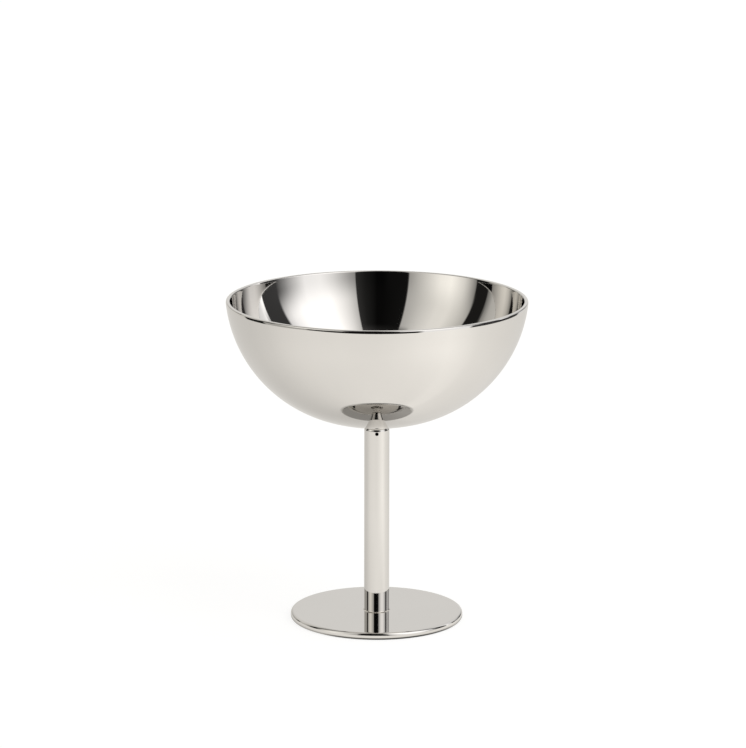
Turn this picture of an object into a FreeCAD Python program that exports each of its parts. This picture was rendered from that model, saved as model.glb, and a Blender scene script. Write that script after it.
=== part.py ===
# Ice cream cup of polished stainless steel, in millimetres.
# A deep-drawn bowl stands on a hollow stem, and the stem on a flat round foot.
# The origin is the centre of the foot's underside, and +Z points up the cup's axis.
# The vent hole in the stem faces -Y, which is the front.

import FreeCAD, Part
import math
import os

from FreeCAD import Vector

# Whole cup
OVERALL_HEIGHT = 108.5

# Bowl
RIM_DIAMETER = 100.0
BOWL_DEPTH = 42.2
BOWL_WALL = 1.4
CROWN_BLEND_DEG = 18.2
WALL_LEAN_DEG = 5.0
INSIDE_LEAN_DEG = 7.0
RIM_OUTER_ROUND = 0.7
RIM_INNER_ROUND = 0.6

# Stem
STEM_DIAMETER = 8.4
STEM_WALL = 0.8
STEM_SHOULDER_ROUND = 1.85
VENT_DIAMETER = 1.2
VENT_BELOW_BOWL = 2.5

# Foot
FOOT_DIAMETER = 57.6
FOOT_THICKNESS = 2.4
FOOT_TOP_ROUND = 1.0
FOOT_BOTTOM_ROUND = 0.8

# Weld bead
FOOT_BEAD_LEG = 0.4

# Heights and radii that follow from the sizes above
RIM_RADIUS = RIM_DIAMETER / 2
STEM_RADIUS = STEM_DIAMETER / 2
FOOT_RADIUS = FOOT_DIAMETER / 2
CROWN_Z = OVERALL_HEIGHT - BOWL_DEPTH
SEAT_RADIUS = STEM_RADIUS - STEM_SHOULDER_ROUND
VENT_Z = CROWN_Z - VENT_BELOW_BOWL

AXIS_START = Vector(0, 0, 0)
AXIS_UP = Vector(0, 0, 1)
FULL_TURN = 360


def at(radius, height):
    """A point of an outline that is turned about the cup's axis."""
    return Vector(radius, 0, height)


def on_arc(centre, radius, angle):
    """A point on an outline's arc, with the angle in radians from straight out."""
    return centre + at(radius * math.cos(angle), radius * math.sin(angle))


def arc(centre, radius, angle_from, angle_to):
    """An outline's arc between two angles in radians."""
    middle = on_arc(centre, radius, (angle_from + angle_to) / 2)
    start = on_arc(centre, radius, angle_from)
    end = on_arc(centre, radius, angle_to)
    return Part.Arc(start, middle, end).toShape()


def line(start, end):
    return Part.makeLine(start, end)


def turned(edges):
    """The solid made by turning a closed outline about the cup's axis."""
    outline = Part.Wire(edges)
    return Part.Face(outline).revolve(AXIS_START, AXIS_UP, FULL_TURN)


def round_rings(solid, rings, radius):
    """Round the circular edges that lie at the given radii and heights."""
    chosen = []
    for edge in solid.Edges:
        if edge.Degenerated or not isinstance(edge.Curve, Part.Circle):
            continue
        for ring_radius, ring_height in rings:
            same_radius = abs(edge.Curve.Radius - ring_radius) < 1e-4
            same_height = abs(edge.Curve.Center.z - ring_height) < 1e-4
            if same_radius and same_height:
                chosen.append(edge)
    return solid.makeFillet(radius, chosen)


def bowl_arcs(rim_radius, depth, lean_deg):
    """Radii of a crown and a side, which blend at one slope and end at the rim with a lean."""
    blend = math.radians(CROWN_BLEND_DEG)
    rim = math.radians(90 - lean_deg)
    side_out = math.sin(rim) - math.sin(blend)
    side_up = math.cos(blend) - math.cos(rim)
    crown_out = math.sin(blend)
    crown_up = 1 - math.cos(blend)
    spread = crown_out * side_up - crown_up * side_out
    crown_radius = (rim_radius * side_up - depth * side_out) / spread
    side_radius = (depth * crown_out - rim_radius * crown_up) / spread
    return crown_radius, side_radius


CROWN_RADIUS, SIDE_RADIUS = bowl_arcs(RIM_RADIUS, BOWL_DEPTH, WALL_LEAN_DEG)
CROWN_CENTRE_Z = CROWN_Z + CROWN_RADIUS


def side_centre(rim_radius, side_radius, lean_deg):
    """The centre of a side arc that ends at the rim with a lean."""
    lean = math.radians(lean_deg)
    rim = at(rim_radius, OVERALL_HEIGHT)
    return rim - at(side_radius * math.cos(lean), -side_radius * math.sin(lean))


def make_bowl():
    """The drawn shell, of one thickness at the rim and the bottom and a little more half way up."""
    inside_radius = RIM_RADIUS - BOWL_WALL
    inside_depth = BOWL_DEPTH - BOWL_WALL
    inside_crown, inside_side = bowl_arcs(inside_radius, inside_depth, INSIDE_LEAN_DEG)
    side = side_centre(RIM_RADIUS, SIDE_RADIUS, WALL_LEAN_DEG)
    inner_side = side_centre(inside_radius, inside_side, INSIDE_LEAN_DEG)
    crown = at(0, CROWN_CENTRE_Z)
    inner_crown = at(0, CROWN_Z + BOWL_WALL + inside_crown)

    bottom = math.radians(-90)
    blend = math.radians(CROWN_BLEND_DEG - 90)
    outer_end = math.radians(-WALL_LEAN_DEG)
    inner_end = math.radians(-INSIDE_LEAN_DEG)
    shell = turned([
        arc(crown, CROWN_RADIUS, bottom, blend),
        arc(side, SIDE_RADIUS, blend, outer_end),
        line(at(RIM_RADIUS, OVERALL_HEIGHT), at(inside_radius, OVERALL_HEIGHT)),
        arc(inner_side, inside_side, inner_end, blend),
        arc(inner_crown, inside_crown, blend, bottom),
        line(at(0, CROWN_Z + BOWL_WALL), at(0, CROWN_Z)),
    ])
    shell = round_rings(shell, [(RIM_RADIUS, OVERALL_HEIGHT)], RIM_OUTER_ROUND)
    return round_rings(shell, [(inside_radius, OVERALL_HEIGHT)], RIM_INNER_ROUND)


def crown_height(radius):
    """Height of the bowl's underside at a radius within its crown."""
    return CROWN_CENTRE_Z - math.sqrt(CROWN_RADIUS ** 2 - radius ** 2)


def make_stem():
    """The drawn tube, closed at the top by a rounded end that is resistance welded flush to the bowl."""
    crown_centre = at(0, CROWN_CENTRE_Z)
    seat_z = crown_height(SEAT_RADIUS)
    seat_angle = math.atan2(seat_z - CROWN_CENTRE_Z, SEAT_RADIUS)
    shoulder_z = seat_z - STEM_SHOULDER_ROUND
    shoulder_centre = at(SEAT_RADIUS, shoulder_z)
    bore_radius = STEM_RADIUS - STEM_WALL
    bore_round = STEM_SHOULDER_ROUND - STEM_WALL
    bore_top = shoulder_z + bore_round
    tube = turned([
        line(at(bore_radius, FOOT_THICKNESS), at(STEM_RADIUS, FOOT_THICKNESS)),
        line(at(STEM_RADIUS, FOOT_THICKNESS), at(STEM_RADIUS, shoulder_z)),
        arc(shoulder_centre, STEM_SHOULDER_ROUND, 0, math.pi / 2),
        arc(crown_centre, CROWN_RADIUS, seat_angle, -math.pi / 2),
        line(at(0, CROWN_Z), at(0, bore_top)),
        line(at(0, bore_top), at(SEAT_RADIUS, bore_top)),
        arc(shoulder_centre, bore_round, math.pi / 2, 0),
        line(at(bore_radius, shoulder_z), at(bore_radius, FOOT_THICKNESS)),
    ])
    drill = Part.makeCylinder(VENT_DIAMETER / 2, STEM_DIAMETER, Vector(0, 0, VENT_Z), Vector(0, -1, 0))
    return tube.cut(drill)


def make_foot():
    """The turned disc, with its upper and lower edges rounded."""
    disc = Part.makeCylinder(FOOT_RADIUS, FOOT_THICKNESS)
    disc = round_rings(disc, [(FOOT_RADIUS, FOOT_THICKNESS)], FOOT_TOP_ROUND)
    return round_rings(disc, [(FOOT_RADIUS, 0)], FOOT_BOTTOM_ROUND)


def make_foot_weld():
    """The bead in the corner between the stem and the foot, ground to an even bevel."""
    corner = at(STEM_RADIUS, FOOT_THICKNESS)
    toe = at(STEM_RADIUS + FOOT_BEAD_LEG, FOOT_THICKNESS)
    top = at(STEM_RADIUS, FOOT_THICKNESS + FOOT_BEAD_LEG)
    return turned([
        line(corner, toe),
        line(toe, top),
        line(top, corner),
    ])


def main():
    pieces = {
        "bowl": make_bowl(),
        "stem": make_stem(),
        "foot": make_foot(),
        "foot_weld": make_foot_weld(),
    }
    os.makedirs("parts", exist_ok=True)
    for name, solid in pieces.items():
        solid.exportStep("parts/" + name + ".step")
        print(name, solid.isValid(), len(solid.Solids), round(solid.Volume, 2))


main()
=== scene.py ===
import math

import bpy
from mathutils import Matrix, Vector


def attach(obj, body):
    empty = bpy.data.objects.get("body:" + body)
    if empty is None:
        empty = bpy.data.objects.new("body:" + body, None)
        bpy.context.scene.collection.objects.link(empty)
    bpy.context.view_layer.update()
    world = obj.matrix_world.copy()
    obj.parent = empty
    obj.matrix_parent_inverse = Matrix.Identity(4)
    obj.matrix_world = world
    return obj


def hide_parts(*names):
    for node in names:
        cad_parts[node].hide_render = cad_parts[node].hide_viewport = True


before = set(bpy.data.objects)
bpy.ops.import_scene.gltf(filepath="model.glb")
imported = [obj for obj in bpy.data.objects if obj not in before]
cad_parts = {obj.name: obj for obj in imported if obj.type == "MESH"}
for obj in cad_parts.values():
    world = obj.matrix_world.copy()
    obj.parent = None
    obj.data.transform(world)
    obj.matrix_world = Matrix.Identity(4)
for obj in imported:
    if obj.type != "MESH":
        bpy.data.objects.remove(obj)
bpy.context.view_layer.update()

MM = 0.001

# Bowl, in millimetres
CUP_HEIGHT = 108.5
RIM_RADIUS = 50.0
BOWL_DEPTH = 42.2
BOWL_WALL = 1.4
CROWN_BLEND_DEG = 18.2
WALL_LEAN_DEG = 5.0
INSIDE_LEAN_DEG = 7.0
RIM_SOFT_ROUND = 3.0
RIM_SOFT_END_DEG = 7.0
RIM_OUTER_ROUND = 0.45
RIM_INNER_ROUND = 0.44

# Stem
STEM_RADIUS = 4.2
STEM_WALL = 0.8
STEM_SHOULDER_ROUND = 1.85
VENT_RADIUS = 0.6
VENT_BELOW_BOWL = 2.5
DRILL_LENGTH = 4.0

# Foot and its weld
FOOT_RADIUS = 28.8
FOOT_THICKNESS = 2.4
FOOT_TOP_ROUND = 1.0
FOOT_BOTTOM_ROUND = 0.8
BEAD_LEG = 0.4

# Extra rings of points, which keep the shading of the long flat faces even
STEM_RING_ABOVE_FOOT = 0.6
STEM_RING_BELOW_VENT = 1.2
FOOT_RING_WIDTH = 0.06

# Steps round the axis
BOWL_TURN_STEPS = 320
STEM_TURN_STEPS = 128
FOOT_TURN_STEPS = 288
BEAD_TURN_STEPS = 128
DRILL_SIDES = 48

# Steps along the outlines, close enough together for smooth reflections
CROWN_STEPS = 26
SIDE_STEPS = 84
RIM_SOFT_STEPS = 10
RIM_OUTER_STEPS = 12
RIM_TOP_STEPS = 3
RIM_INNER_STEPS = 8
STEM_STEPS = 8
SHOULDER_STEPS = 18
SEAT_STEPS = 4
BORE_ROUND_STEPS = 10
BORE_STEPS = 6
FOOT_FLAT_STEPS = 8
FOOT_TOP_STEPS = 18
FOOT_BOTTOM_STEPS = 14
BEAD_STEPS = 10

# Points closer together than this, in millimetres, become one
MERGE_GAP = 0.0005

# Edges sharper than this, in degrees, stay crisp
CRISP_DEG = 35
BEAD_CRISP_DEG = 60


# Drawing outlines and turning them

def at(radius, height):
    """A point of an outline in the plane Y = 0, from millimetres."""
    return Vector((radius * MM, 0.0, height * MM))


def pen_down(point):
    """Starts an outline: a small plane is merged into one vertex, which is moved to the first point."""
    bpy.ops.object.select_all(action="DESELECT")
    bpy.ops.mesh.primitive_plane_add(size=MM, location=(0, 0, 0))
    outline = bpy.context.object
    bpy.ops.object.mode_set(mode="EDIT")
    bpy.ops.mesh.select_all(action="SELECT")
    bpy.ops.mesh.merge(type="CENTER")
    bpy.ops.transform.translate(value=point)
    outline["tip"] = point
    return outline


def draw_line(outline, end, steps=1):
    """Extrudes the tip of the outline straight to the next point."""
    stride = (end - Vector(outline["tip"])) / steps
    for _ in range(steps):
        bpy.ops.mesh.extrude_region_move(TRANSFORM_OT_translate={"value": stride})
    outline["tip"] = end


def draw_arc(outline, centre, turn_deg, steps):
    """Spins the tip of the outline about a centre, anticlockwise as seen from the front."""
    turn = math.radians(turn_deg)
    bpy.ops.mesh.spin(steps=steps, angle=turn, center=centre, axis=(0, 1, 0))
    spoke = Vector(outline["tip"]) - centre
    outline["tip"] = centre + Matrix.Rotation(turn, 3, (0, -1, 0)) @ spoke


def turn_outline(outline, name, steps, crisp_deg=CRISP_DEG):
    """Spins the closed outline once round the cup's axis and finishes the solid's surface."""
    bpy.ops.mesh.select_all(action="SELECT")
    bpy.ops.mesh.remove_doubles(threshold=MERGE_GAP * MM)
    bpy.ops.mesh.spin(steps=steps, angle=2 * math.pi, center=(0, 0, 0), axis=(0, 0, 1))
    bpy.ops.mesh.select_all(action="SELECT")
    bpy.ops.mesh.remove_doubles(threshold=MERGE_GAP * MM)
    bpy.ops.mesh.normals_make_consistent(inside=False)
    bpy.ops.object.mode_set(mode="OBJECT")
    bpy.ops.object.shade_smooth_by_angle(angle=math.radians(crisp_deg))
    del outline["tip"]
    outline.name = name
    outline.data.name = name
    return outline


# Bowl

def shell_arcs(rim_radius, depth, lean_deg):
    """Radii of a crown and a side that blend at one slope and end at the rim with a lean."""
    blend = math.radians(CROWN_BLEND_DEG)
    rim = math.radians(90 - lean_deg)
    side_out = math.sin(rim) - math.sin(blend)
    side_up = math.cos(blend) - math.cos(rim)
    crown_out = math.sin(blend)
    crown_up = 1 - math.cos(blend)
    spread = crown_out * side_up - crown_up * side_out
    crown_radius = (rim_radius * side_up - depth * side_out) / spread
    side_radius = (depth * crown_out - rim_radius * crown_up) / spread
    return crown_radius, side_radius


def side_centre(rim_radius, side_radius, lean_deg):
    """Radius and height of the centre of a side that ends at the rim with a lean."""
    lean = math.radians(lean_deg)
    return rim_radius - side_radius * math.cos(lean), CUP_HEIGHT + side_radius * math.sin(lean)


CROWN_RADIUS, SIDE_RADIUS = shell_arcs(RIM_RADIUS, BOWL_DEPTH, WALL_LEAN_DEG)
CROWN_Z = CUP_HEIGHT - BOWL_DEPTH
CROWN_CENTRE_Z = CROWN_Z + CROWN_RADIUS


def make_bowl():
    """The drawn shell: crown, side and rim outside, and the same again inside."""
    side = side_centre(RIM_RADIUS, SIDE_RADIUS, WALL_LEAN_DEG)
    inside_radius = RIM_RADIUS - BOWL_WALL
    in_crown_radius, in_side_radius = shell_arcs(inside_radius, BOWL_DEPTH - BOWL_WALL, INSIDE_LEAN_DEG)
    in_side = side_centre(inside_radius, in_side_radius, INSIDE_LEAN_DEG)
    in_crown_z = CROWN_Z + BOWL_WALL + in_crown_radius

    # Buffing has softened the rim's outer edge: a slow curve leaves the side, then a tight one meets the top
    soft_end = math.radians(RIM_SOFT_END_DEG)
    round_z = CUP_HEIGHT - RIM_OUTER_ROUND
    soft_z = round_z - (RIM_SOFT_ROUND - RIM_OUTER_ROUND) * math.sin(soft_end)
    reach = SIDE_RADIUS - RIM_SOFT_ROUND
    soft_x = side[0] + math.sqrt(reach ** 2 - (soft_z - side[1]) ** 2)
    round_x = soft_x + (RIM_SOFT_ROUND - RIM_OUTER_ROUND) * math.cos(soft_end)
    outer_end = math.degrees(math.atan2(soft_z - side[1], soft_x - side[0]))

    # The inner rounding sits in the wall, outside the hollow of the inside's side
    in_round_z = CUP_HEIGHT - RIM_INNER_ROUND
    in_reach = in_side_radius + RIM_INNER_ROUND
    in_round_x = in_side[0] + math.sqrt(in_reach ** 2 - (in_round_z - in_side[1]) ** 2)
    inner_end = math.degrees(math.atan2(in_round_z - in_side[1], in_round_x - in_side[0]))

    blend = CROWN_BLEND_DEG - 90
    outline = pen_down(at(0, CROWN_Z))
    draw_arc(outline, at(0, CROWN_CENTRE_Z), CROWN_BLEND_DEG, CROWN_STEPS)
    draw_arc(outline, at(*side), outer_end - blend, SIDE_STEPS)
    draw_arc(outline, at(soft_x, soft_z), RIM_SOFT_END_DEG - outer_end, RIM_SOFT_STEPS)
    draw_arc(outline, at(round_x, round_z), 90 - RIM_SOFT_END_DEG, RIM_OUTER_STEPS)
    draw_line(outline, at(in_round_x, CUP_HEIGHT), RIM_TOP_STEPS)
    draw_arc(outline, at(in_round_x, in_round_z), 90 + inner_end, RIM_INNER_STEPS)
    draw_arc(outline, at(*in_side), blend - inner_end, SIDE_STEPS)
    draw_arc(outline, at(0, in_crown_z), -CROWN_BLEND_DEG, CROWN_STEPS)
    draw_line(outline, at(0, CROWN_Z))
    return turn_outline(outline, "bowl_shell", BOWL_TURN_STEPS)


# Stem

def crown_height(radius):
    """Height of the bowl's underside at a radius within its crown, in millimetres."""
    return CROWN_CENTRE_Z - math.sqrt(CROWN_RADIUS ** 2 - radius ** 2)


def make_stem():
    """The hollow tube, closed by a rounded end that follows the bowl's underside."""
    seat_radius = STEM_RADIUS - STEM_SHOULDER_ROUND
    seat_turn = math.degrees(math.asin(seat_radius / CROWN_RADIUS))
    shoulder_z = crown_height(seat_radius) - STEM_SHOULDER_ROUND
    bore_radius = STEM_RADIUS - STEM_WALL
    bore_round = STEM_SHOULDER_ROUND - STEM_WALL
    vent_z = CROWN_Z - VENT_BELOW_BOWL

    outline = pen_down(at(bore_radius, FOOT_THICKNESS))
    draw_line(outline, at(STEM_RADIUS, FOOT_THICKNESS))
    draw_line(outline, at(STEM_RADIUS, FOOT_THICKNESS + STEM_RING_ABOVE_FOOT))
    draw_line(outline, at(STEM_RADIUS, vent_z - STEM_RING_BELOW_VENT), STEM_STEPS)
    draw_line(outline, at(STEM_RADIUS, shoulder_z))
    draw_arc(outline, at(seat_radius, shoulder_z), 90, SHOULDER_STEPS)
    draw_arc(outline, at(0, CROWN_CENTRE_Z), -seat_turn, SEAT_STEPS)
    draw_line(outline, at(0, shoulder_z + bore_round))
    draw_line(outline, at(seat_radius, shoulder_z + bore_round), steps=2)
    draw_arc(outline, at(seat_radius, shoulder_z), -90, BORE_ROUND_STEPS)
    draw_line(outline, at(bore_radius, FOOT_THICKNESS), BORE_STEPS)
    stem = turn_outline(outline, "stem_tube", STEM_TURN_STEPS)

    # The vent is drilled through the front wall only
    bpy.ops.object.select_all(action="DESELECT")
    bpy.ops.mesh.primitive_cylinder_add(
        vertices=DRILL_SIDES,
        radius=VENT_RADIUS * MM,
        depth=DRILL_LENGTH * MM,
        location=(0, -STEM_RADIUS * MM, vent_z * MM),
        rotation=(math.pi / 2, 0, 0),
    )
    drill = bpy.context.object
    bpy.ops.object.select_all(action="DESELECT")
    stem.select_set(True)
    bpy.context.view_layer.objects.active = stem
    cut = stem.modifiers.new("vent", "BOOLEAN")
    cut.operation = "DIFFERENCE"
    cut.solver = "EXACT"
    cut.object = drill
    bpy.ops.object.modifier_apply(modifier="vent")
    bpy.data.objects.remove(drill)
    bpy.ops.object.shade_smooth_by_angle(angle=math.radians(CRISP_DEG))
    return stem


# Foot and weld

def make_foot():
    """The turned disc with its two rounded edges."""
    top_flat = FOOT_RADIUS - FOOT_TOP_ROUND
    bottom_flat = FOOT_RADIUS - FOOT_BOTTOM_ROUND
    outline = pen_down(at(0, FOOT_THICKNESS))
    draw_line(outline, at(top_flat - FOOT_RING_WIDTH, FOOT_THICKNESS), FOOT_FLAT_STEPS)
    draw_line(outline, at(top_flat, FOOT_THICKNESS))
    draw_arc(outline, at(top_flat, FOOT_THICKNESS - FOOT_TOP_ROUND), -90, FOOT_TOP_STEPS)
    draw_line(outline, at(FOOT_RADIUS, FOOT_BOTTOM_ROUND), steps=2)
    draw_arc(outline, at(bottom_flat, FOOT_BOTTOM_ROUND), -90, FOOT_BOTTOM_STEPS)
    draw_line(outline, at(bottom_flat - FOOT_RING_WIDTH, 0))
    draw_line(outline, at(0, 0), FOOT_FLAT_STEPS)
    draw_line(outline, at(0, FOOT_THICKNESS))
    return turn_outline(outline, "foot_disc", FOOT_TURN_STEPS)


def make_bead():
    """The weld's bead, ground to a small hollow curve from the foot up to the stem."""
    corner = at(STEM_RADIUS, FOOT_THICKNESS)
    outline = pen_down(corner)
    draw_line(outline, at(STEM_RADIUS + BEAD_LEG, FOOT_THICKNESS))
    draw_arc(outline, at(STEM_RADIUS + BEAD_LEG, FOOT_THICKNESS + BEAD_LEG), -90, BEAD_STEPS)
    draw_line(outline, corner)
    return turn_outline(outline, "foot_weld_bead", BEAD_TURN_STEPS, BEAD_CRISP_DEG)


# Materials

# Sockets of a Mix node that mixes colours
SHARE, COLOUR_A, COLOUR_B = 0, 6, 7

# The steel's waviness from the wheel and its hazy patches, by their size in millimetres
WAVE_MM = 14
PATCH_MM = 22

# Most of the patches' noise lies between these values
PATCH_LOW = 0.3
PATCH_HIGH = 0.75

# How often the pattern changes along a polishing line, in one radian of turn round the axis
LINE_RUN = 0.3

MICRON = 1e-6


def linear(hex_colour):
    """An sRGB hex colour as linear RGBA."""
    channels = []
    for i in (1, 3, 5):
        value = int(hex_colour[i:i + 2], 16) / 255
        channels.append(value / 12.92 if value <= 0.04045 else ((value + 0.055) / 1.055) ** 2.4)
    return (*channels, 1.0)


def add(tree, kind, inputs=None, **settings):
    """Adds a node with its settings. Each input gets a value, or a link from another node's output."""
    node = tree.nodes.new(kind)
    for name, value in settings.items():
        setattr(node, name, value)
    for socket, source in (inputs or {}).items():
        if isinstance(source, bpy.types.NodeSocket):
            tree.links.new(source, node.inputs[socket])
        else:
            node.inputs[socket].default_value = source
    return node


def blank_tree(owner):
    """The emptied node tree of a material or a world."""
    owner.use_nodes = True
    owner.node_tree.nodes.clear()
    return owner.node_tree


# Stainless steel, spun or turned and then buffed to a mirror on a wheel.
# It gives clean reflections with a slightly warm tint, faint polishing lines that run round the axis,
# a very slow waviness from the wheel, and hazy patches where the shine is a little softer.
def polished_stainless(name, colours, line_mm, line_um, wave_um, haze):
    material = bpy.data.materials.new(name)
    tree = blank_tree(material)
    place = add(tree, "ShaderNodeTexCoord").outputs["Object"]
    parts = add(tree, "ShaderNodeSeparateXYZ", {"Vector": place})
    flat = add(tree, "ShaderNodeCombineXYZ", {"X": parts.outputs["X"], "Y": parts.outputs["Y"]})
    radius = add(tree, "ShaderNodeVectorMath", {0: flat.outputs[0]}, operation="LENGTH")
    turn = add(tree, "ShaderNodeMath", {0: parts.outputs["Y"], 1: parts.outputs["X"]}, operation="ARCTAN2")
    run = LINE_RUN * line_mm * MM
    along = add(tree, "ShaderNodeMath", {0: turn.outputs[0], 1: run}, operation="MULTIPLY")
    ring = add(tree, "ShaderNodeCombineXYZ", {
        "X": radius.outputs["Value"],
        "Y": parts.outputs["Z"],
        "Z": along.outputs[0],
    })
    lines = add(tree, "ShaderNodeTexNoise", {
        "Vector": ring.outputs[0],
        "Scale": 1 / (line_mm * MM),
        "Detail": 3.0,
    })
    waves = add(tree, "ShaderNodeTexNoise", {"Vector": place, "Scale": 1 / (WAVE_MM * MM), "Detail": 1.0})
    patches = add(tree, "ShaderNodeTexNoise", {"Vector": place, "Scale": 1 / (PATCH_MM * MM), "Detail": 4.0})

    rough = add(tree, "ShaderNodeMapRange", {
        "Value": patches.outputs["Fac"],
        "From Min": PATCH_LOW,
        "From Max": PATCH_HIGH,
        "To Min": haze[0],
        "To Max": haze[1],
    })
    tint = add(tree, "ShaderNodeMix", {
        SHARE: patches.outputs["Fac"],
        COLOUR_A: linear(colours[0]),
        COLOUR_B: linear(colours[1]),
    }, data_type="RGBA")
    wave_bump = add(tree, "ShaderNodeBump", {
        "Height": waves.outputs["Fac"],
        "Strength": 1.0,
        "Distance": wave_um * MICRON,
    })
    line_bump = add(tree, "ShaderNodeBump", {
        "Height": lines.outputs["Fac"],
        "Strength": 1.0,
        "Distance": line_um * MICRON,
        "Normal": wave_bump.outputs[0],
    })
    steel = add(tree, "ShaderNodeBsdfPrincipled", {
        "Base Color": tint.outputs[2],
        "Metallic": 1.0,
        "Roughness": rough.outputs[0],
        "Normal": line_bump.outputs[0],
    })
    add(tree, "ShaderNodeOutputMaterial", {"Surface": steel.outputs[0]})
    return material


def dress(piece, material, slot, *nodes):
    """Gives a finished piece its material and puts it in the place of the CAD's nodes."""
    piece.data.materials.clear()
    piece.data.materials.append(material)
    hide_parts(*nodes)
    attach(piece, "root")


STEEL = ("#D5D3D0", "#D1CFCC")
WELD = ("#CFCBC6", "#C6C2BB")

bowl_steel = polished_stainless(
    "spun_and_buffed_stainless", STEEL, line_mm=0.35, line_um=0.03, wave_um=2.0, haze=(0.02, 0.045),
)
stem_steel = polished_stainless(
    "drawn_and_buffed_stainless", STEEL, line_mm=0.30, line_um=0.03, wave_um=1.0, haze=(0.03, 0.05),
)
foot_steel = polished_stainless(
    "turned_and_buffed_stainless", STEEL, line_mm=0.30, line_um=0.03, wave_um=0.6, haze=(0.02, 0.04),
)
weld_steel = polished_stainless(
    "ground_stainless_weld", WELD, line_mm=0.15, line_um=0.2, wave_um=2.0, haze=(0.08, 0.16),
)

dress(make_bowl(), bowl_steel, "polished_steel", "bowl")
dress(make_stem(), stem_steel, "polished_steel", "stem")
dress(make_foot(), foot_steel, "polished_steel", "foot")
dress(make_bead(), weld_steel, "weld_metal", "foot_weld")


# What the polished metal mirrors

# The table and both soft boxes are a little warm, the right one least
TABLE_TINT = "#FFFCF7"
LEFT_TINT = "#FFFCF5"
RIGHT_TINT = "#FFFEFE"

# Each list gives brightness by direction round the cup, where 1 is white. Directions are in degrees:
# 0 is towards the camera, and they grow to the camera's right.

# Below the table's height, which shows only beyond the table's edges
ROOM_BELOW = [
    (-180, 0.86), (-120, 0.8), (-117, 0.01), (-96, 0.01), (-93, 0.55), (-55, 0.5), (-52, 0.01),
    (0, 0.01), (31, 0.01), (36, 1.2), (74, 1.2), (77, 0.05), (132, 0.05), (136, 0.9), (180, 0.86),
]
# Just above the table: two wide soft boxes, the dark gap where the camera stands, a dark flag and a
# narrow reflector on each side, more flags behind them, and the bright backdrop
ROOM_LOW = [
    (-180, 0.86), (-134, 0.4), (-131, 0.04), (-124, 0.04), (-122, 0.74), (-107, 0.6), (-100, 0.2),
    (-99.5, 0.015), (-86.5, 0.015), (-85.5, 0.3), (-74, 1.0), (-62, 1.42), (-52, 1.3), (-41, 0.95),
    (-26, 0.46), (-25.2, 0.0075), (-9, 0.006), (-5, 0.003), (0, 0.003), (3, 0.007), (9, 0.013),
    (17, 0.034), (17.6, 0.38), (22, 0.5), (28, 0.73), (35, 1.02), (41, 1.21), (46, 1.33), (60, 1.28),
    (68, 0.86), (79, 0.36), (88, 0.06), (105.5, 0.05), (106.3, 1.8), (111, 1.1), (118, 0.9),
    (119.5, 0.04), (126, 0.04), (128, 0.3), (140, 0.22), (144, 0.08), (151, 0.08), (157, 0.5),
    (168, 0.86), (180, 0.86),
]
# Higher up: the right soft box is at its brightest and the left one a little dimmer
ROOM_HIGH = [
    (-180, 0.86), (-124, 0.86), (-122, 0.68), (-110, 0.6), (-102, 0.3), (-101, 0.015), (-87.5, 0.015),
    (-86.5, 0.6), (-77, 0.86), (-66, 1.1), (-55, 1.07), (-43, 0.88), (-32, 0.67), (-26, 0.58),
    (-25.2, 0.009), (-5, 0.004), (0, 0.004), (10, 0.018), (17, 0.04), (17.6, 0.72), (25, 1.1),
    (31, 1.35), (40, 1.7), (68, 1.7), (80, 1.35), (86.5, 1.0), (88.5, 0.05), (108, 0.05), (109, 1.3),
    (122, 0.95), (180, 0.86),
]
# Near the ceiling: the dark gap is wider on the left soft box's side, and the back is dim
ROOM_TOP = [
    (-180, 0.5), (-120, 0.5), (-102, 0.3), (-101, 0.015), (-87.5, 0.015), (-86.5, 0.5), (-66, 0.86),
    (-55, 0.82), (-43, 0.7), (-37, 0.6), (-34, 0.012), (0, 0.02), (17, 0.07), (17.6, 0.72), (31, 1.35),
    (40, 1.7), (68, 1.7), (80, 1.35), (86.5, 1.0), (88.5, 0.05), (108, 0.05), (109, 0.8), (122, 0.72),
    (160, 0.7), (180, 0.5),
]
# The table's top a long way from the cup, which is brightest where the right soft box shines across it
TABLE_FAR = [
    (-180, 0.84), (-146, 0.85), (-136, 0.87), (-110, 0.9), (-89, 0.985), (-74, 1.095), (-61, 1.16),
    (-49, 1.19), (-27, 1.22), (-7, 1.205), (0, 1.21), (12, 1.26), (22, 1.31), (33, 1.39), (44, 1.45),
    (55, 1.49), (68, 1.39), (82, 1.24), (99, 1.17), (122, 1.08), (137, 1.0), (150, 0.9), (160, 0.86),
    (180, 0.82),
]
# The table's top round the foot, which is lit more evenly
TABLE_NEAR = [
    (-180, 0.8), (-136, 0.8), (-113, 0.87), (-90, 0.965), (-68, 1.065), (-49, 1.14), (-30, 1.185),
    (-13, 1.23), (0, 1.25), (22, 1.24), (40, 1.22), (52, 1.24), (60, 1.3), (74, 1.3), (84, 1.21),
    (100, 1.17), (122, 1.1), (137, 1.03), (152, 0.98), (160, 0.9), (180, 0.8),
]
# The foot's own shade on the table, close to its edge
TABLE_SHADE = [
    (-180, 0.6), (-40, 0.6), (-26, 0.15), (0, 0.03), (30, 0.03), (52, 0.2), (66, 0.6), (180, 0.6),
]


# A ramp holds values up to 1, so it holds each brightness divided by this, and the glow makes up for it
RAMP_SCALE = 2.0


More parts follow.
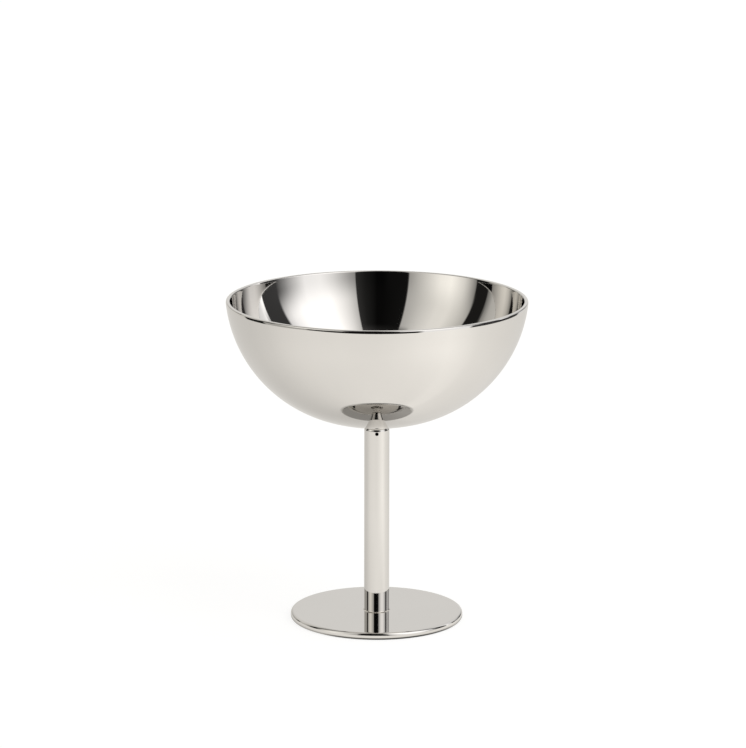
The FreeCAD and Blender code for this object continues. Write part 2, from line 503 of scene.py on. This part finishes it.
def direction_ramp(tree, vector, stops):
    """Brightness from a list over the direction of a vector round the cup. Each half turn has a ramp."""
    parts = add(tree, "ShaderNodeSeparateXYZ", {"Vector": vector})
    front = add(tree, "ShaderNodeMath", {0: parts.outputs["Y"], 1: -1.0}, operation="MULTIPLY")
    turn = add(tree, "ShaderNodeMath", {0: parts.outputs["X"], 1: front.outputs[0]}, operation="ARCTAN2")
    halves = []
    for start in (-180, 0):
        low = math.radians(start)
        share = add(tree, "ShaderNodeMapRange", {
            "Value": turn.outputs[0],
            "From Min": low,
            "From Max": low + math.pi,
        })
        ramp = add(tree, "ShaderNodeValToRGB", {"Fac": share.outputs[0]})
        marks = ramp.color_ramp.elements
        in_half = [stop for stop in stops if start <= stop[0] <= start + 180]
        for degrees, _ in in_half[1:-1]:
            marks.new((degrees - start) / 180)
        for mark, (_, level) in zip(marks, in_half):
            grey = level / RAMP_SCALE
            mark.color = (grey, grey, grey, 1)
        halves.append(ramp.outputs["Color"])
    right = add(tree, "ShaderNodeMath", {0: turn.outputs[0], 1: 0.0}, operation="GREATER_THAN")
    whole = add(tree, "ShaderNodeMix", {
        SHARE: right.outputs[0],
        COLOUR_A: halves[0],
        COLOUR_B: halves[1],
    }, data_type="RGBA")
    return whole.outputs[2]


# Floor: a matt white table, which ends a short way in front of the cup

# Its edges, in metres
FLOOR_FRONT = -0.34
FLOOR_BACK = 2.6
FLOOR_HALF_WIDTH = 0.36

# Distances from the cup's axis, in millimetres, between which one of the table's lists gives way to another
NEAR_TO_FAR = (40, 170)
SHADE_TO_NEAR = (29, 31.5)

# Between these distances the table is a little brighter, at most by this factor half way
SWELL = (40, 240)
SWELL_FACTOR = 1.035

TABLE_PAINT = "#E4E4E2"

# How much of the table's look is glow and not paint, where metal mirrors it and where the camera sees it
MIRRORED_GLOW_SHARE = 0.8
SEEN_GLOW_SHARE = 0.6
SEEN_GLOW = 1.35


def make_floor():
    bpy.ops.object.select_all(action="DESELECT")
    bpy.ops.mesh.primitive_plane_add(size=1.0, location=(0, 0, 0))
    floor = bpy.context.object
    floor.name = "floor"
    floor.scale = (2 * FLOOR_HALF_WIDTH, FLOOR_BACK - FLOOR_FRONT, 1)
    floor.location = (0, (FLOOR_BACK + FLOOR_FRONT) / 2, 0)
    bpy.ops.object.transform_apply(location=True, rotation=True, scale=True)
    material = bpy.data.materials.new("matt_white_table")
    tree = blank_tree(material)
    paint = add(tree, "ShaderNodeBsdfDiffuse", {"Color": linear(TABLE_PAINT)})

    # What metal mirrors: the table's lists, mixed by the distance from the cup
    place = add(tree, "ShaderNodeTexCoord").outputs["Object"]
    reach = add(tree, "ShaderNodeVectorMath", {0: place}, operation="LENGTH").outputs["Value"]
    outward = add(tree, "ShaderNodeMapRange", {
        "Value": reach,
        "From Min": NEAR_TO_FAR[0] * MM,
        "From Max": NEAR_TO_FAR[1] * MM,
    })
    off_foot = add(tree, "ShaderNodeMapRange", {
        "Value": reach,
        "From Min": SHADE_TO_NEAR[0] * MM,
        "From Max": SHADE_TO_NEAR[1] * MM,
    }, interpolation_type="SMOOTHSTEP")
    far, near, shade = (direction_ramp(tree, place, stops) for stops in (TABLE_FAR, TABLE_NEAR, TABLE_SHADE))
    lit = add(tree, "ShaderNodeMix", {
        SHARE: outward.outputs[0],
        COLOUR_A: near,
        COLOUR_B: far,
    }, data_type="RGBA")
    level = add(tree, "ShaderNodeMix", {
        SHARE: off_foot.outputs[0],
        COLOUR_A: shade,
        COLOUR_B: lit.outputs[2],
    }, data_type="RGBA")
    tinted = add(tree, "ShaderNodeMix", {
        SHARE: 1.0,
        COLOUR_A: level.outputs[2],
        COLOUR_B: linear(TABLE_TINT),
    }, data_type="RGBA", blend_type="MULTIPLY")
    across = add(tree, "ShaderNodeMapRange", {
        "Value": reach,
        "From Min": SWELL[0] * MM,
        "From Max": SWELL[1] * MM,
    })
    half_way = 0.5
    swell = add(tree, "ShaderNodeMath", {0: across.outputs[0], 1: half_way}, operation="PINGPONG")
    strength = add(tree, "ShaderNodeMapRange", {
        "Value": swell.outputs[0],
        "From Min": 0.0,
        "From Max": half_way,
        "To Min": RAMP_SCALE,
        "To Max": RAMP_SCALE * SWELL_FACTOR,
    })
    mirrored_glow = add(tree, "ShaderNodeEmission", {
        "Color": tinted.outputs[2],
        "Strength": strength.outputs[0],
    })
    mirrored = add(tree, "ShaderNodeMixShader", {
        0: MIRRORED_GLOW_SHARE,
        1: paint.outputs[0],
        2: mirrored_glow.outputs[0],
    })

    # What the camera sees: a white that keeps the cup's soft shadow
    seen_glow = add(tree, "ShaderNodeEmission", {"Color": (1, 1, 1, 1), "Strength": SEEN_GLOW})
    seen = add(tree, "ShaderNodeMixShader", {0: SEEN_GLOW_SHARE, 1: paint.outputs[0], 2: seen_glow.outputs[0]})

    # Metal mirrors the glow, soft light meets plain paint, and the camera sees the white
    ray = add(tree, "ShaderNodeLightPath").outputs
    sharp = add(tree, "ShaderNodeMath", {
        0: ray["Is Glossy Ray"],
        1: ray["Is Transmission Ray"],
    }, operation="MAXIMUM")
    unseen = add(tree, "ShaderNodeMixShader", {
        0: sharp.outputs[0],
        1: paint.outputs[0],
        2: mirrored.outputs[0],
    })
    look = add(tree, "ShaderNodeMixShader", {
        0: ray["Is Camera Ray"],
        1: unseen.outputs[0],
        2: seen.outputs[0],
    })

    # Seen from underneath, the table is clear and shows the foot's underside
    facing = add(tree, "ShaderNodeNewGeometry")
    clear = add(tree, "ShaderNodeBsdfTransparent")
    sided = add(tree, "ShaderNodeMixShader", {
        0: facing.outputs["Backfacing"],
        1: look.outputs[0],
        2: clear.outputs[0],
    })
    add(tree, "ShaderNodeOutputMaterial", {"Surface": sided.outputs[0]})
    floor.data.materials.append(material)


make_floor()


# Studio

# Heights above the horizon, in degrees, between which one of the room's lists gives way to the next
BELOW_TO_LOW = (-1, 1)
LOW_TO_HIGH = (6, 28)
HIGH_TO_TOP = (47, 55)

# Beyond this share of the way to each side, the left or the right tint is full
TINT_REACH = 0.8


def make_studio():
    world = bpy.data.worlds.new("studio")
    bpy.context.scene.world = world
    tree = blank_tree(world)
    view = add(tree, "ShaderNodeTexCoord").outputs["Generated"]
    parts = add(tree, "ShaderNodeSeparateXYZ", {"Vector": view})

    # Each list takes over from the one below it as the direction climbs
    room = direction_ramp(tree, view, ROOM_BELOW)
    for stops, (climb_from, climb_to), ease in (
        (ROOM_LOW, BELOW_TO_LOW, "LINEAR"),
        (ROOM_HIGH, LOW_TO_HIGH, "SMOOTHSTEP"),
        (ROOM_TOP, HIGH_TO_TOP, "SMOOTHSTEP"),
    ):
        climb = add(tree, "ShaderNodeMapRange", {
            "Value": parts.outputs["Z"],
            "From Min": math.sin(math.radians(climb_from)),
            "From Max": math.sin(math.radians(climb_to)),
        }, interpolation_type=ease)
        mix = add(tree, "ShaderNodeMix", {
            SHARE: climb.outputs[0],
            COLOUR_A: room,
            COLOUR_B: direction_ramp(tree, view, stops),
        }, data_type="RGBA")
        room = mix.outputs[2]

    side = add(tree, "ShaderNodeMapRange", {
        "Value": parts.outputs["X"],
        "From Min": -TINT_REACH,
        "From Max": TINT_REACH,
    })
    tint = add(tree, "ShaderNodeMix", {
        SHARE: side.outputs[0],
        COLOUR_A: linear(LEFT_TINT),
        COLOUR_B: linear(RIGHT_TINT),
    }, data_type="RGBA")
    tinted = add(tree, "ShaderNodeMix", {
        SHARE: 1.0,
        COLOUR_A: room,
        COLOUR_B: tint.outputs[2],
    }, data_type="RGBA", blend_type="MULTIPLY")
    studio = add(tree, "ShaderNodeBackground", {"Color": tinted.outputs[2], "Strength": RAMP_SCALE})
    white = add(tree, "ShaderNodeBackground", {"Color": (1, 1, 1, 1), "Strength": 1.0})
    ray = add(tree, "ShaderNodeLightPath")
    both = add(tree, "ShaderNodeMixShader", {
        0: ray.outputs["Is Camera Ray"],
        1: studio.outputs[0],
        2: white.outputs[0],
    })
    add(tree, "ShaderNodeOutputWorld", {"Surface": both.outputs[0]})


make_studio()


# Camera, fitted to the outlines in the photo. Its aim and distance are in millimetres, its clip in metres.

CAMERA_AIM = (-1.309, 0, 83.313)
CAMERA_DISTANCE = 1326.07
CAMERA_TILT_DEG = 12.695
CAMERA_ROLL_DEG = 0.0756
FOCAL_PIXELS = 4002.9
PICTURE_PIXELS = 748
SENSOR_MM = 36.0
CLIP_START = 0.01


def make_camera():
    tilt = math.radians(CAMERA_TILT_DEG)
    roll = math.radians(CAMERA_ROLL_DEG)
    forward = Vector((0, math.cos(tilt), -math.sin(tilt)))
    level_right = Vector((1, 0, 0))
    level_up = Vector((0, math.sin(tilt), math.cos(tilt)))
    right = math.cos(roll) * level_right + math.sin(roll) * level_up
    up = math.cos(roll) * level_up - math.sin(roll) * level_right
    place = (Vector(CAMERA_AIM) - forward * CAMERA_DISTANCE) * MM
    data = bpy.data.cameras.new("camera")
    data.sensor_fit = "VERTICAL"
    data.sensor_height = SENSOR_MM
    data.lens = FOCAL_PIXELS / PICTURE_PIXELS * SENSOR_MM
    data.clip_start = CLIP_START
    camera = bpy.data.objects.new("camera", data)
    bpy.context.collection.objects.link(camera)
    turn = Matrix((right, up, -forward)).transposed()
    camera.matrix_world = Matrix.Translation(place) @ turn.to_4x4()
    bpy.context.scene.camera = camera


make_camera()

bpy.context.scene.view_settings.view_transform = "Standard"
